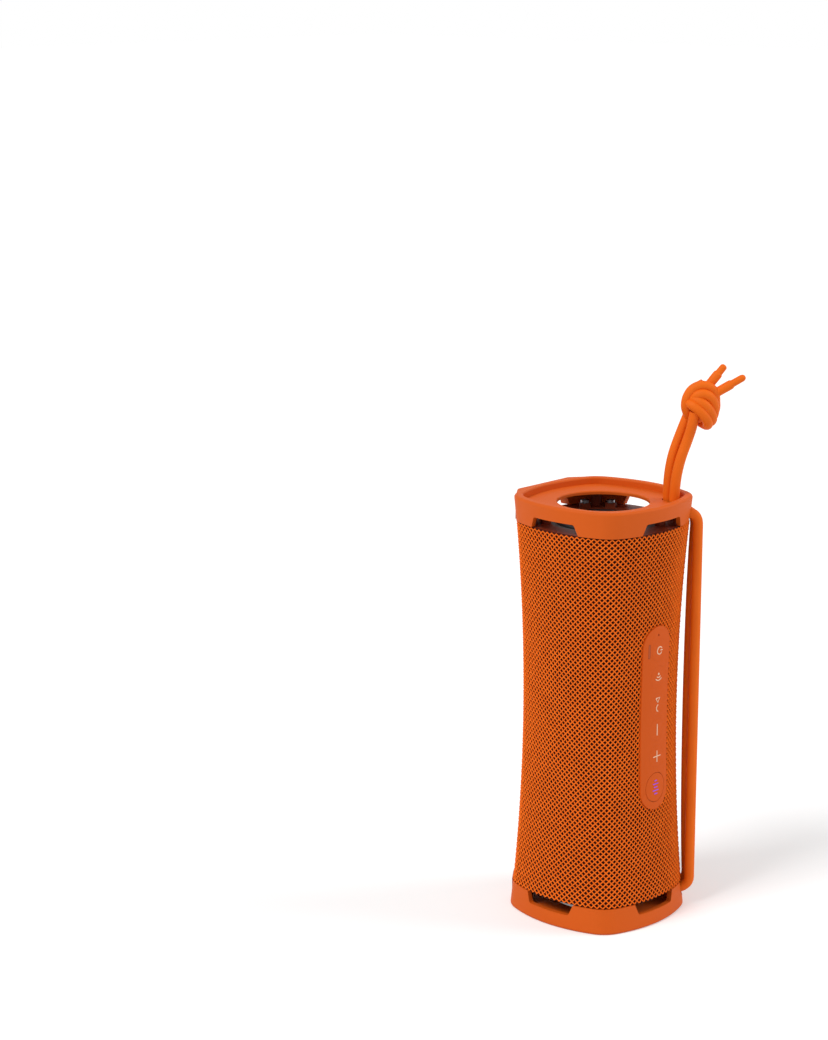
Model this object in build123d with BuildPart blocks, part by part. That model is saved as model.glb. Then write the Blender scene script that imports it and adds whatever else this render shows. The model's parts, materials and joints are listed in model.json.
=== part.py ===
"""Portable bluetooth speaker, standing on one end: a waisted fabric-covered tube of rounded-square
section with a soft bumper at each end, a control strip on one side and a knotted wrist strap along
one corner. Millimetres. +Z runs along the body, the drivers face -Y and the controls face +X."""
import os
from math import atan2, copysign, cos, degrees, pi, radians, sin, sqrt, tan

from build123d import *

os.makedirs("parts", exist_ok=True)

# ---- Driving dimensions -------------------------------------------------------------------
body_length = 206.0
half_width = 38.25
side_radius = 66.0            # bow of each side in section
corner_radius = 15.0
waist_depth = 5.3             # how far the sides draw in at mid-height

bumper_depth = 12.5           # bumper height along the body
bumper_wall = 2.6
rim_width = 4.3
rim_recess = 3.3
end_plate = 1.7               # recessed plate inside each rim
end_hole_radius = 22.0
rim_fillet = 1.3
rim_inner_fillet = 0.9
hole_lip_fillet = 0.7
foot_half_width = 18.4        # flat underside when the speaker lies down
foot_flank = (31.3, 27.4)     # where the foot's flanks run into the outline
slot_band = 7.2               # solid band between the end face and the side slots
slot_near_half = 12.2
slot_far_half = 14.6
slot_fillet = 1.4

fabric_thickness = 1.0
skin_gap = 0.1
cabinet_wall = 2.2
cabinet_end_wall = 3.0
seat_gap = 0.1                # small gap where one piece seats in another
split_y = -17.0               # front and rear cabinet meet here
seal_thickness = 0.6

frame_thickness = 3.4
post_radius = 2.6
post_circle = 34.0
screw_circle = 28.0
screw_angles = (21, 69, 122, 148, 212, 238, 302, 328)
boss_radius = 2.8
boss_height = 2.5
screw_shaft_radius = 1.2
screw_head_radius = 2.1
screw_head_height = 1.3
thread_gap = 0.05

ring_outer_radius = 26.4
ring_inner_radius = 22.6
ring_thickness = 2.8
ring_gap = 0.2
radiator_plate_radius = 16.4
radiator_plate_thickness = 2.0
radiator_weight_radius = 9.0
radiator_weight_height = 3.0
surround_thickness = 0.6
surround_rise = 2.2
radiator_lift = 0.8           # plate's underside above the cabinet's end

strip_length = 90.4
strip_width = 20.0
strip_center = (0.8, 102.2)   # y, z
strip_proud = 0.5
strip_sink = 2.2
strip_ledge = 1.6
key_thickness = 1.7
key_travel = 0.4
key_gap = 0.25
key_floor_gap = 0.5
key_stem_radius = 1.8
key_stem_gap = 0.4
key_offset_y = 1.4            # keys sit towards the strap side of the strip
key_radius = 5.3
key_heights = {"power_button": 135.2, "pairing_button": 122.1, "play_button": 108.6,
               "volume_down_button": 96.0, "volume_up_button": 82.8}
bass_key_radius = 7.0
bass_key_center = (1.2, 67.7)
light_width = 1.4
light_length = 7.0
light_center = (-5.2, 135.8)
microphone_center = (1.0, 143.0)
microphone_hole_radius = 0.5
microphone_size = (3.0, 3.8)

tray_depth = 13.35            # floor of the control pocket, in from the side's crown
tray_wall = 1.5
tray_margin = 3.0
board_thickness = 1.2
board_stand_off = 1.1
switch_size = 4.5
switch_height = 1.4
plunger_radius = 1.2
plunger_height = 0.5

baffle_depth = 13.75          # baffle's face, in from the front's crown
baffle_thickness = 2.5
grille_half_width = 24.0
grille_span = (30.0, 176.0)
grille_thickness = 1.2
grille_ledge = 2.0
grille_corner = 6.0
grille_slot = (5.2, 2.6)
grille_pitch = (7.4, 8.6)
grille_count = (6, 16)

woofer_z = 80.0
woofer_flange = (83.0, 42.0)
woofer_frame_opening = (75.0, 34.0)
woofer_cone_size = (66.0, 25.0)
woofer_flange_thickness = 1.5
woofer_basket_depth = 15.0
woofer_basket_wall = 1.2
woofer_magnet_radius = 17.0
woofer_magnet_height = 12.0
magnet_back_plate = 2.5
basket_neck_inset = 6.0          # how much narrower the basket's neck is than the magnet
woofer_screw_places = [(x, woofer_z + z) for x in (-14.6, 14.6) for z in (-32.5, 32.5)]
woofer_screw_length = 3.5
frame_gap = 0.5
cone_thickness = 0.8
cone_neck_margin = (4.0, 2.0)    # how far the cone's neck stands out past the coil's inside
coil_radius = 9.7
coil_thickness = 0.7
coil_gap = 0.4
coil_depth = 4.0
tweeter_z = 150.0
tweeter_flange_radius = 14.0
tweeter_dome_radius = 8.0
tweeter_dome_rise = 2.6
tweeter_magnet_radius = 10.0
tweeter_magnet_height = 9.0
dome_lift = -0.7

main_board_y = 19.5
main_board_size = (40.0, 70.0)
main_board_z = 61.0
main_board_thickness = 1.6
board_post_radius = 3.0
board_post_spread = (16.0, 30.0)
board_screw_length = 5.5
board_chips = [(-8, 16, 10, 10, 1.2), (8, 18, 7, 7, 1.0), (-10, -2, 8, 12, 3.0), (9, 2, 6, 6, 1.0),
               (0, -16, 12, 5, 4.5), (11, -12, 5, 8, 2.5), (0, 28, 14, 5, 4.0)]

port_z = 44.0
usb_size = (3.2, 9.0)
usb_depth = 6.8
usb_wall = 0.35
port_recess = (7.6, 13.2)
bezel_size = (17.0, 32.0)
bezel_proud = 0.3
bezel_floor_y = 28.2
flap_size = (12.0, 26.0)
flap_thickness = 1.5
flap_gap = 0.3
flap_plug_depth = 2.2
flap_plug_gap = 0.45

cell_radius = 9.15
cell_length = 65.0
cell_cap_height = 1.2
cell_spread = 9.6
cell_y = 15.5
cell_bottom_z = 104.0
holder_wall = 1.0
holder_gap = 0.1

joining_screw_inset = 12.25   # in from the side's crown
joining_screw_end_gap = 30.0
joining_boss_radius = 3.2
joining_screw_length = 20.0

strand_diameter = 5.0
strand_hole_gap = 0.4
strand_spread = 2.6           # half the distance between the two strands
strap_top_z = 197.4
strap_bottom_z = 7.9
strap_anchor_radius = 31.0    # where the strands end in the lower bumper
stopper_size = (3.4, 14.0, 5.0)
strap_hole_size = (11.6, 6.4)
front_exit_radius = 33.3
rear_exit_radius = 31.0
knot_center = (45.0, 0.0, 248.8)
knot_half_height = 12.2
knot_radius = 8.75
tail_diameter = 4.4

# Strap routes: distance out along the corner's diagonal, distance across it, height.
front_strand_places = [(strap_anchor_radius, -strand_spread, strap_bottom_z),
                       (44.9, -strand_spread, strap_bottom_z), (44.9, -strand_spread, strap_top_z),
                       (front_exit_radius, -2.4, strap_top_z), (33.6, -2.2, 212.0), (35.9, -1.5, 223.0),
                       (39.2, -1.2, 232.0), (42.6, -1.5, 239.0)]
rear_strand_places = [(strap_anchor_radius, strand_spread, strap_bottom_z),
                      (44.8, strand_spread, strap_bottom_z), (43.9, strand_spread, 25.0),
                      (43.1, strand_spread, 55.0), (42.7, strand_spread, 103.0),
                      (43.1, strand_spread, 151.0), (43.9, strand_spread, 180.0),
                      (44.8, strand_spread, strap_top_z), (rear_exit_radius, 2.4, strap_top_z),
                      (30.9, 2.2, 212.0), (31.8, 2.3, 223.0), (34.7, 2.7, 233.6), (39.2, 2.6, 243.4)]
upper_tail_places = [(49.3, 0.8, 258.6), (55.3, 1.0, 266.6)]
lower_tail_places = [(51.6, -1.0, 254.2), (65.2, -1.4, 262.2)]

mid_z = body_length / 2
cabinet_skin = fabric_thickness + skin_gap
cabinet_inner = cabinet_skin + cabinet_wall
tray_floor_x = half_width - tray_depth
baffle_front = half_width - baffle_depth
joining_screw_x = half_width - joining_screw_inset
joining_screw_z = (joining_screw_end_gap, body_length - joining_screw_end_gap)
side_center = half_width - side_radius
centre_gap = side_radius - corner_radius
corner_center = (side_center + sqrt(2 * centre_gap**2 - side_center**2)) / 2
join_angle = atan2(corner_center, corner_center - side_center)


# ---- Shared construction ------------------------------------------------------------------
def waist_inset(z):
    """How far the outline at height z lies inside the outline at the ends."""
    return waist_depth * (1 - ((z - mid_z) / mid_z) ** 2)


def outline(inset):
    """Draw the bowed rounded square in the current sketch, with every arc offset inwards."""
    reach = corner_radius - inset
    join = Vector(corner_center + reach * cos(join_angle), corner_center + reach * sin(join_angle))
    middle = Vector(half_width - inset, 0)
    tip = Vector(corner_center + reach * cos(pi / 4), corner_center + reach * cos(pi / 4))
    with BuildLine() as rim:
        for turn in range(0, 360, 90):
            start = Vector(join.X, -join.Y).rotate(Axis.Z, turn)
            end = join.rotate(Axis.Z, turn)
            following = Vector(join.Y, join.X).rotate(Axis.Z, turn)
            ThreePointArc(start, middle.rotate(Axis.Z, turn), end)
            ThreePointArc(end, tip.rotate(Axis.Z, turn), following)
    make_face(rim.edges())


def waisted_body(low_z, high_z, inset, mode=Mode.ADD, stations=5):
    """Combine a loft of the waisted outline, a fixed depth under the skin, with the current part."""
    with BuildPart() as body:
        for index in range(stations):
            z = low_z + (high_z - low_z) * index / (stations - 1)
            with BuildSketch(Plane.XY.offset(z)):
                outline(waist_inset(z) + inset)
        loft()
    add(body.part, mode=mode)


def skin_patch(low_z, high_z, outer_inset, inner_inset):
    """Add a piece of skin between two depths under the outer surface."""
    waisted_body(low_z, high_z, outer_inset)
    waisted_body(low_z - 1, high_z + 1, inner_inset, mode=Mode.SUBTRACT)


def end_z(end, depth):
    """Height of a plane some depth in from the upper (+1) or lower (-1) end face."""
    return mid_z + end * (mid_z - depth)


def end_plane(end, depth):
    return Plane.XY.offset(end_z(end, depth))


def strap_point(radius, across, z):
    """A point at the strap's corner: distance out along the diagonal, then across it."""
    return Vector((radius - across) / sqrt(2), (radius + across) / sqrt(2), z)


def strap_plane(radius, across, z):
    """A plane facing outwards at the strap's corner, its x across the corner and its y up."""
    return Plane(origin=strap_point(radius, across, z), x_dir=(-1, 1, 0), z_dir=(1, 1, 0))


def shrunk(size, by):
    """The two sides of an outline that is drawn in by some distance all round."""
    return tuple(side - 2 * by for side in size)


def save(piece, name):
    piece.part.label = name
    export_step(piece.part, f"parts/{name}.step")


# ---- Ends: bumpers, frames, passive radiators ----------------------------------------------
frame_depth = bumper_depth + skin_gap
cabinet_depth = frame_depth + frame_thickness
screw_places = [(screw_circle * cos(radians(a)), screw_circle * sin(radians(a))) for a in screw_angles]
post_places = [(post_circle * cos(radians(a)), post_circle * sin(radians(a))) for a in (135, 225, 315)]
strap_center_radius = (front_exit_radius + rear_exit_radius) / 2
strap_exit_angle = 45 + degrees(atan2(-2 * strand_spread, front_exit_radius - rear_exit_radius))


def bumper(end):
    plate_depth = rim_recess + end_plate
    low_z, high_z = sorted((end_z(end, 0), end_z(end, bumper_depth)))
    with BuildPart() as piece:
        waisted_body(low_z, high_z, 0, stations=3)
        with BuildSketch(end_plane(end, 0)):
            with BuildLine():
                Polyline((-half_width, -foot_half_width), (-half_width, foot_half_width),
                         (-foot_flank[0], foot_flank[1]), (-foot_flank[0], -foot_flank[1]), close=True)
            make_face()
        extrude(amount=-end * bumper_depth)
        ends = piece.edges().group_by(Axis.Z)
        fillet(ends[-1] if end > 0 else ends[0], rim_fillet)
        with BuildSketch(end_plane(end, 0)):
            outline(rim_width)
        extrude(amount=-end * rim_recess, mode=Mode.SUBTRACT)
        cavity_low, cavity_high = sorted((end_z(end, plate_depth), end_z(end, bumper_depth + 1)))
        waisted_body(cavity_low, cavity_high, bumper_wall, mode=Mode.SUBTRACT, stations=3)
        with BuildSketch(end_plane(end, 0)):
            Circle(end_hole_radius)
        extrude(amount=-end * bumper_depth, mode=Mode.SUBTRACT)
        lips = piece.edges().filter_by(GeomType.CIRCLE).filter_by(
            lambda edge: abs(edge.radius - end_hole_radius) < 0.01)
        fillet(lips.sort_by(Axis.Z)[-1 if end > 0 else 0], hole_lip_fillet)
        inner_rim = piece.edges().filter_by(
            lambda edge: abs(edge.center().Z - end_z(end, 0)) < 0.01
            and Vector(edge.center().X, edge.center().Y).length < half_width + corner_radius)
        fillet(inner_rim, rim_inner_fillet)
        for base in (Plane.XZ, Plane.YZ):
            with BuildSketch(base) as slot:
                near_z, far_z = end_z(end, slot_band), end_z(end, bumper_depth + 1)
                with BuildLine():
                    Polyline((-slot_near_half, near_z), (slot_near_half, near_z),
                             (slot_far_half, far_z), (-slot_far_half, far_z), close=True)
                make_face()
                corners = slot.vertices().group_by(Axis.Y)
                fillet(corners[-1] if end > 0 else corners[0], slot_fillet)
            extrude(amount=2 * half_width, both=True, mode=Mode.SUBTRACT)
        notch_z = strap_top_z if end > 0 else strap_bottom_z
        notch_width = 2 * strand_spread + strand_diameter + 2 * strand_hole_gap
        notch_half = strand_diameter / 2 + strand_hole_gap
        with BuildSketch(strap_plane(strap_anchor_radius + 2, 0, notch_z)):
            RectangleRounded(notch_width, 2 * notch_half, notch_half - 0.01)
            with Locations((0, -end * notch_half)):
                Rectangle(notch_width, 2 * notch_half)
        extrude(amount=half_width, mode=Mode.SUBTRACT)
        if end > 0:
            with BuildSketch(end_plane(end, 0)):
                with Locations(strap_point(strap_center_radius, 0, 0)):
                    SlotOverall(*strap_hole_size, rotation=strap_exit_angle)
            extrude(amount=-bumper_depth / 2, mode=Mode.SUBTRACT)
    return piece


def end_frame(end):
    low_z, high_z = sorted((end_z(end, frame_depth), end_z(end, cabinet_depth)))
    with BuildPart() as piece:
        waisted_body(low_z, high_z, cabinet_skin, stations=3)
        with BuildSketch(end_plane(end, frame_depth)):
            with Locations(*screw_places):
                Circle(boss_radius)
        extrude(amount=end * boss_height)
        with BuildSketch(end_plane(end, frame_depth)):
            with Locations(*post_places):
                Circle(post_radius)
        extrude(amount=end * (frame_depth - rim_recess - end_plate))
        with BuildSketch(end_plane(end, cabinet_depth)):
            Circle(ring_outer_radius + ring_gap)
        extrude(amount=end * bumper_depth, mode=Mode.SUBTRACT)
        with BuildSketch(end_plane(end, cabinet_depth)):
            with Locations(*screw_places):
                Circle(screw_shaft_radius + thread_gap)
        extrude(amount=end * bumper_depth, mode=Mode.SUBTRACT)
    return piece


def frame_screws(end):
    head_depth = frame_depth - boss_height
    with BuildPart() as piece:
        with BuildSketch(end_plane(end, head_depth)):
            with Locations(*screw_places):
                Circle(screw_head_radius)
        extrude(amount=end * screw_head_height)
        with BuildSketch(end_plane(end, head_depth - screw_head_height)):
            with Locations(*screw_places):
                RegularPolygon(screw_head_radius / 2, 6)
        extrude(amount=-end * screw_head_height / 2, mode=Mode.SUBTRACT)
        with BuildSketch(end_plane(end, head_depth)):
            with Locations(*screw_places):
                Circle(screw_shaft_radius)
        extrude(amount=-end * (cabinet_depth + cabinet_end_wall - head_depth - 0.5))
    return piece


def radiator_ring(end):
    with BuildPart() as piece:
        with BuildSketch(end_plane(end, cabinet_depth)):
            Circle(ring_outer_radius)
            Circle(ring_inner_radius, mode=Mode.SUBTRACT)
        extrude(amount=end * ring_thickness)
        lips = piece.edges().filter_by(GeomType.CIRCLE).group_by(Axis.Z)
        fillet(lips[-1] if end > 0 else lips[0], ring_thickness / 5)
    return piece


def radiator_surround(end):
    base = cabinet_depth - radiator_lift
    middle_radius = (radiator_plate_radius + ring_inner_radius) / 2
    crest = base - surround_rise
    with BuildPart() as piece:
        with BuildSketch(Plane.XZ):
            with BuildLine():
                ThreePointArc((radiator_plate_radius, end_z(end, base)), (middle_radius, end_z(end, crest)),
                              (ring_inner_radius, end_z(end, base)))
                Line((ring_inner_radius, end_z(end, base)),
                     (ring_inner_radius, end_z(end, base + surround_thickness)))
                ThreePointArc((ring_inner_radius, end_z(end, base + surround_thickness)),
                              (middle_radius, end_z(end, crest + surround_thickness)),
                              (radiator_plate_radius, end_z(end, base + surround_thickness)))
                Line((radiator_plate_radius, end_z(end, base + surround_thickness)),
                     (radiator_plate_radius, end_z(end, base)))
            make_face()
        revolve(axis=Axis.Z)
    return piece


def radiator_plate(end):
    with BuildPart() as piece:
        with BuildSketch(end_plane(end, cabinet_depth - radiator_lift + surround_thickness)):
            Circle(radiator_plate_radius)
        extrude(amount=end * radiator_plate_thickness)
        faces = piece.edges().filter_by(GeomType.CIRCLE).group_by(Axis.Z)
        fillet(faces[-1] if end > 0 else faces[0], radiator_plate_thickness / 4)
        with BuildSketch(end_plane(end, cabinet_depth - radiator_lift + surround_thickness)):
            Circle(radiator_weight_radius)
        extrude(amount=-end * radiator_weight_height)
    return piece


for side, end in (("upper", 1), ("lower", -1)):
    save(bumper(end), f"{side}_bumper")
    save(end_frame(end), f"{side}_end_frame")
    save(frame_screws(end), f"{side}_frame_screws")
    save(radiator_ring(end), f"{side}_radiator_ring")
    save(radiator_surround(end), f"{side}_radiator_surround")
    save(radiator_plate(end), f"{side}_radiator_plate")


# ---- Control strip ------------------------------------------------------------------------
strip_low = strip_center[1] - strip_length / 2
strip_high = strip_center[1] + strip_length / 2
board_face = tray_floor_x + board_stand_off + board_thickness
switch_top = board_face + switch_height + plunger_height
stem_end = switch_top + key_travel + 0.1
keys = {name: (strip_center[0] + key_offset_y, z, key_radius) for name, z in key_heights.items()}
keys["bass_button"] = (*bass_key_center, bass_key_radius)


def oblong(center, length, width):
    """Round-ended opening in the YZ plane, drawn in the current sketch, long way up."""
    with Locations(center):
        SlotOverall(length, width, rotation=90)


with BuildPart() as control_strip:
    skin_patch(strip_low - 2, strip_high + 2, -strip_proud, strip_sink)
    with BuildSketch(Plane.YZ):
        oblong(strip_center, strip_length, strip_width)
    extrude(amount=2 * half_width, mode=Mode.INTERSECT)
    for key_y, key_z, radius in keys.values():
        pocket_floor = half_width - waist_inset(key_z) + strip_proud - key_thickness - key_floor_gap
        with BuildSketch(Plane.YZ.offset(pocket_floor)):
            with Locations((key_y, key_z)):
                Circle(radius + key_gap)
        extrude(amount=half_width, mode=Mode.SUBTRACT)
        with BuildSketch(Plane.YZ):
            with Locations((key_y, key_z)):
                Circle(key_stem_radius + key_stem_gap)
        extrude(amount=2 * half_width, mode=Mode.SUBTRACT)
    with BuildSketch(Plane.YZ):
        oblong(light_center, light_length + 2 * seat_gap, light_width + 2 * seat_gap)
        with Locations(microphone_center):
            Circle(microphone_hole_radius)
    extrude(amount=2 * half_width, mode=Mode.SUBTRACT)
save(control_strip, "control_strip")


def key(key_y, key_z, radius):
    """A key whose face follows the strip's face, with a stem down to its switch."""
    key_base = half_width - waist_inset(key_z) + strip_proud - key_thickness
    with BuildPart() as piece:
        waisted_body(key_z - 2 * radius, key_z + 2 * radius, -strip_proud, stations=3)
        with BuildSketch(Plane.YZ.offset(key_base)):
            with Locations((key_y, key_z)):
                Circle(radius)
        extrude(amount=half_width, mode=Mode.INTERSECT)
        with BuildSketch(Plane.YZ.offset(stem_end)):
            with Locations((key_y, key_z)):
                Circle(key_stem_radius)
        extrude(amount=key_base - stem_end)
    return piece


for name, place in keys.items():
    save(key(*place), name)

with BuildPart() as status_light:
    waisted_body(strip_low, strip_high, -strip_proud)
    with BuildSketch(Plane.YZ.offset(board_face + seat_gap)):
        oblong(light_center, light_length, light_width)
    extrude(amount=half_width, mode=Mode.INTERSECT)
save(status_light, "status_light")

with BuildPart() as control_board:
    with BuildSketch(Plane.YZ.offset(tray_floor_x + board_stand_off)):
        with Locations(strip_center):
            RectangleRounded(strip_width + 2, strip_length + 4, 2)
    extrude(amount=board_thickness)
save(control_board, "control_board")

with BuildPart() as tact_switches:
    for key_y, key_z, radius in keys.values():
        with BuildSketch(Plane.YZ.offset(board_face)):
            with Locations((key_y, key_z)):
                Rectangle(switch_size, switch_size)
        extrude(amount=switch_height)
        with BuildSketch(Plane.YZ.offset(board_face + switch_height)):
            with Locations((key_y, key_z)):
                Circle(plunger_radius)
        extrude(amount=plunger_height)
save(tact_switches, "tact_switches")

with BuildPart() as microphone:
    with BuildSketch(Plane.YZ.offset(board_face)):
        with Locations(microphone_center):
            Rectangle(*microphone_size)
    extrude(amount=switch_height)
    with BuildSketch(Plane.YZ.offset(board_face + switch_height)):
        with Locations(microphone_center):
            Circle(microphone_hole_radius)
    extrude(amount=-switch_height / 2, mode=Mode.SUBTRACT)
save(microphone, "microphone")


# ---- Fabric sleeve and grille --------------------------------------------------------------
bezel_center = (0, port_z)

with BuildPart() as fabric_sleeve:
    waisted_body(frame_depth, body_length - frame_depth, 0, stations=7)
    waisted_body(frame_depth - 1, body_length - frame_depth + 1, fabric_thickness, mode=Mode.SUBTRACT,
                 stations=7)
    with BuildSketch(Plane.YZ):
        oblong(strip_center, strip_length + 2 * seat_gap, strip_width + 2 * seat_gap)
    extrude(amount=2 * half_width, mode=Mode.SUBTRACT)
    with BuildSketch(Plane.XZ):
        oblong(bezel_center, bezel_size[1] + 2 * seat_gap, bezel_size[0] + 2 * seat_gap)
    extrude(amount=-2 * half_width, mode=Mode.SUBTRACT)
save(fabric_sleeve, "fabric_sleeve")

grille_middle = (grille_span[0] + grille_span[1]) / 2
grille_height = grille_span[1] - grille_span[0]
with BuildPart() as front_grille:
    skin_patch(grille_span[0] - 2, grille_span[1] + 2, cabinet_skin, cabinet_skin + grille_thickness)
    with BuildSketch(Plane.XZ):
        with Locations((0, grille_middle)):
            RectangleRounded(2 * (grille_half_width - seat_gap), grille_height - 2 * seat_gap, grille_corner)
    extrude(amount=2 * half_width, mode=Mode.INTERSECT)
    with BuildSketch(Plane.XZ):
        with Locations((0, grille_middle)):
            with GridLocations(*grille_pitch, *grille_count):
                SlotOverall(*grille_slot)
    extrude(amount=2 * half_width, mode=Mode.SUBTRACT)
save(front_grille, "front_grille")


# ---- Cabinet ------------------------------------------------------------------------------
cabinet_low = cabinet_depth
cabinet_high = body_length - cabinet_depth


def cut_cabinet_ends():
    """Open the radiator holes and the blind screw holes in both end walls."""
    with BuildPart() as openings:
        with BuildSketch(Plane.XY):
            Circle(end_hole_radius + seat_gap)
            with Locations(*screw_places):
                Circle(screw_shaft_radius + thread_gap)
        extrude(amount=cabinet_low + cabinet_end_wall)
        with BuildSketch(Plane.XY.offset(body_length)):
            Circle(end_hole_radius + seat_gap)
            with Locations(*screw_places):
                Circle(screw_shaft_radius + thread_gap)
        extrude(amount=-cabinet_low - cabinet_end_wall)
    add(openings.part, mode=Mode.SUBTRACT)


def cabinet_shell():
    """Add the closed shell that the two cabinet halves and their seal are cut from."""
    waisted_body(cabinet_low, cabinet_high, cabinet_skin)
    waisted_body(cabinet_low + cabinet_end_wall, cabinet_high - cabinet_end_wall, cabinet_inner,
                 mode=Mode.SUBTRACT)
    cut_cabinet_ends()


def keep_between(low_y, high_y):
    """Keep only what lies between two planes across the body."""
    with BuildPart() as slab:
        with BuildSketch(Plane.XZ.offset(-low_y)):
            with Locations((0, mid_z)):
                Rectangle(4 * half_width, 2 * body_length)
        extrude(amount=low_y - high_y)
    add(slab.part, mode=Mode.INTERSECT)


front_edge_y = split_y - seal_thickness / 2
rear_edge_y = split_y + seal_thickness / 2
joining_places = [(x, z) for x in (-joining_screw_x, joining_screw_x) for z in joining_screw_z]

with BuildPart() as cabinet_seal:
    cabinet_shell()
    keep_between(front_edge_y, rear_edge_y)
save(cabinet_seal, "cabinet_seal")

with BuildPart() as grille_seat:
    with BuildSketch(Plane.XZ.offset(baffle_front)):
        with Locations((0, grille_middle)):
            RectangleRounded(2 * grille_half_width, grille_height, grille_corner)
    extrude(amount=half_width)
    waisted_body(cabinet_low, cabinet_high, cabinet_skin + grille_thickness + seat_gap, mode=Mode.SUBTRACT)

with BuildPart() as front_cabinet:
    cabinet_shell()
    with BuildSketch(Plane.XZ):
        with Locations((0, grille_middle)):
            RectangleRounded(2 * (grille_half_width - grille_ledge), grille_height - 2 * grille_ledge,
                             grille_corner - grille_ledge)
    extrude(amount=2 * half_width, mode=Mode.SUBTRACT)
    with BuildSketch(Plane.XZ.offset(baffle_front)):
        with Locations((0, mid_z)):
            Rectangle(2 * half_width, cabinet_high - cabinet_low - 1)
    extrude(amount=-baffle_thickness)
    with BuildSketch(Plane.XZ.offset(-front_edge_y)):
        with Locations(*joining_places):
            Circle(joining_boss_radius)
    extrude(amount=baffle_front + front_edge_y)
    waisted_body(cabinet_low, cabinet_high, cabinet_skin, mode=Mode.INTERSECT)
    keep_between(-half_width, front_edge_y)
    add(grille_seat.part, mode=Mode.SUBTRACT)
    with BuildSketch(Plane.XZ):
        with Locations((0, woofer_z)):
            SlotOverall(*[size + 2 * frame_gap for size in woofer_frame_opening], rotation=90)
        with Locations((0, tweeter_z)):
            Circle(tweeter_magnet_radius + frame_gap)
        with Locations(*joining_places):
            Circle(screw_shaft_radius + thread_gap)
        with Locations(*woofer_screw_places):
            Circle(screw_shaft_radius + thread_gap)
    extrude(amount=baffle_front + 1, mode=Mode.SUBTRACT)
    with BuildSketch(Plane.XZ.offset(baffle_front)):
        with Locations(*joining_places):
            Circle(screw_head_radius + ring_gap)
    extrude(amount=half_width, mode=Mode.SUBTRACT)
    cut_cabinet_ends()
save(front_cabinet, "front_cabinet")

with BuildPart() as strip_seat:
    with BuildSketch(Plane.YZ.offset(tray_floor_x)):
        oblong(strip_center, strip_length + 2 * seat_gap, strip_width + 2 * seat_gap)
    extrude(amount=half_width)
    waisted_body(strip_low - 5, strip_high + 5, strip_sink + seat_gap / 2, mode=Mode.SUBTRACT)

with BuildPart() as tray_space:
    with BuildSketch(Plane.YZ.offset(tray_floor_x)):
        with Locations(strip_center):
            Rectangle(strip_width + 2 * tray_margin, strip_length + 2 * tray_margin)
    extrude(amount=half_width)
    waisted_body(0, body_length, cabinet_inner, mode=Mode.INTERSECT)

holder_back_y = cell_y + cell_radius + holder_gap + holder_wall
holder_middle_z = cell_bottom_z + cell_length / 2
holder_post_places = [(0, holder_middle_z - cell_length / 4), (0, holder_middle_z + cell_length / 4)]
board_post_places = [(x, main_board_z + z) for x in (-board_post_spread[0], board_post_spread[0])
                     for z in (-board_post_spread[1], board_post_spread[1])]

with BuildPart() as rear_cabinet:
    cabinet_shell()
    with BuildSketch(Plane.YZ.offset(tray_floor_x - tray_wall)):
        with Locations(strip_center):
            Rectangle(*shrunk((strip_width, strip_length), -tray_margin - tray_wall))
    extrude(amount=half_width)
    with BuildSketch(Plane.XZ.offset(-main_board_y - main_board_thickness)):
        with Locations(*board_post_places):
            Circle(board_post_radius)
    extrude(amount=-half_width)
    with BuildSketch(Plane.XZ.offset(-holder_back_y)):
        with Locations(*holder_post_places):
            Circle(board_post_radius)
    extrude(amount=-half_width)
    with BuildSketch(Plane.XZ.offset(-rear_edge_y)):
        with Locations(*joining_places):
            Circle(joining_boss_radius)
        with Locations(*[(x + copysign(1.5 * joining_boss_radius, x), z) for x, z in joining_places]):
            Rectangle(2 * joining_boss_radius, tray_wall)
    extrude(amount=-joining_screw_length)
    waisted_body(cabinet_low, cabinet_high, cabinet_skin, mode=Mode.INTERSECT)
    keep_between(rear_edge_y, half_width)
    add(tray_space.part, mode=Mode.SUBTRACT)
    with BuildSketch(Plane.YZ.offset(tray_floor_x)):
        oblong(strip_center, strip_length - 2 * strip_ledge, strip_width - 2 * strip_ledge)
    extrude(amount=half_width, mode=Mode.SUBTRACT)
    add(strip_seat.part, mode=Mode.SUBTRACT)
    with BuildSketch(Plane.YZ.offset(tray_floor_x)):
        with Locations(strip_center):
            with GridLocations(strip_width - 3, strip_length - 3, 2, 2):
                Circle(boss_radius / 2)
    extrude(amount=board_stand_off)
    with BuildSketch(Plane.XZ):
        oblong(bezel_center, bezel_size[1] + 2 * seat_gap, bezel_size[0] + 2 * seat_gap)
    extrude(amount=-half_width, mode=Mode.SUBTRACT)
    with BuildSketch(Plane.XZ.offset(-main_board_y)):
        with Locations(*board_post_places):
            Circle(screw_shaft_radius + thread_gap)
    extrude(amount=-board_screw_length, mode=Mode.SUBTRACT)
    with BuildSketch(Plane.XZ.offset(-rear_edge_y)):
        with Locations(*joining_places):
            Circle(screw_shaft_radius + thread_gap)
    extrude(amount=-joining_screw_length + 1, mode=Mode.SUBTRACT)
    cut_cabinet_ends()
save(rear_cabinet, "rear_cabinet")


def back_screws(places, seat, shaft, toward):
    """Screws along Y at (x, z) places: head on the seat plane, shaft running the other way."""
    with BuildPart() as piece:
        with BuildSketch(Plane.XZ.offset(-seat)):
            with Locations(*places):
                Circle(screw_head_radius)
        extrude(amount=toward * screw_head_height)
        with BuildSketch(Plane.XZ.offset(-seat)):
            with Locations(*places):
                Circle(screw_shaft_radius)
        extrude(amount=-toward * shaft)
    return piece


joining_reach = baffle_front + rear_edge_y + joining_screw_length - 2
save(back_screws(joining_places, -baffle_front, joining_reach, 1), "joining_screws")


# ---- Drivers ------------------------------------------------------------------------------
def upright_slot(size, center_z, mode=Mode.ADD):
    """Round-ended outline in the XZ plane, drawn in the current sketch, long way up."""
    with Locations((0, center_z)):
        SlotOverall(*size, rotation=90, mode=mode)


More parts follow.
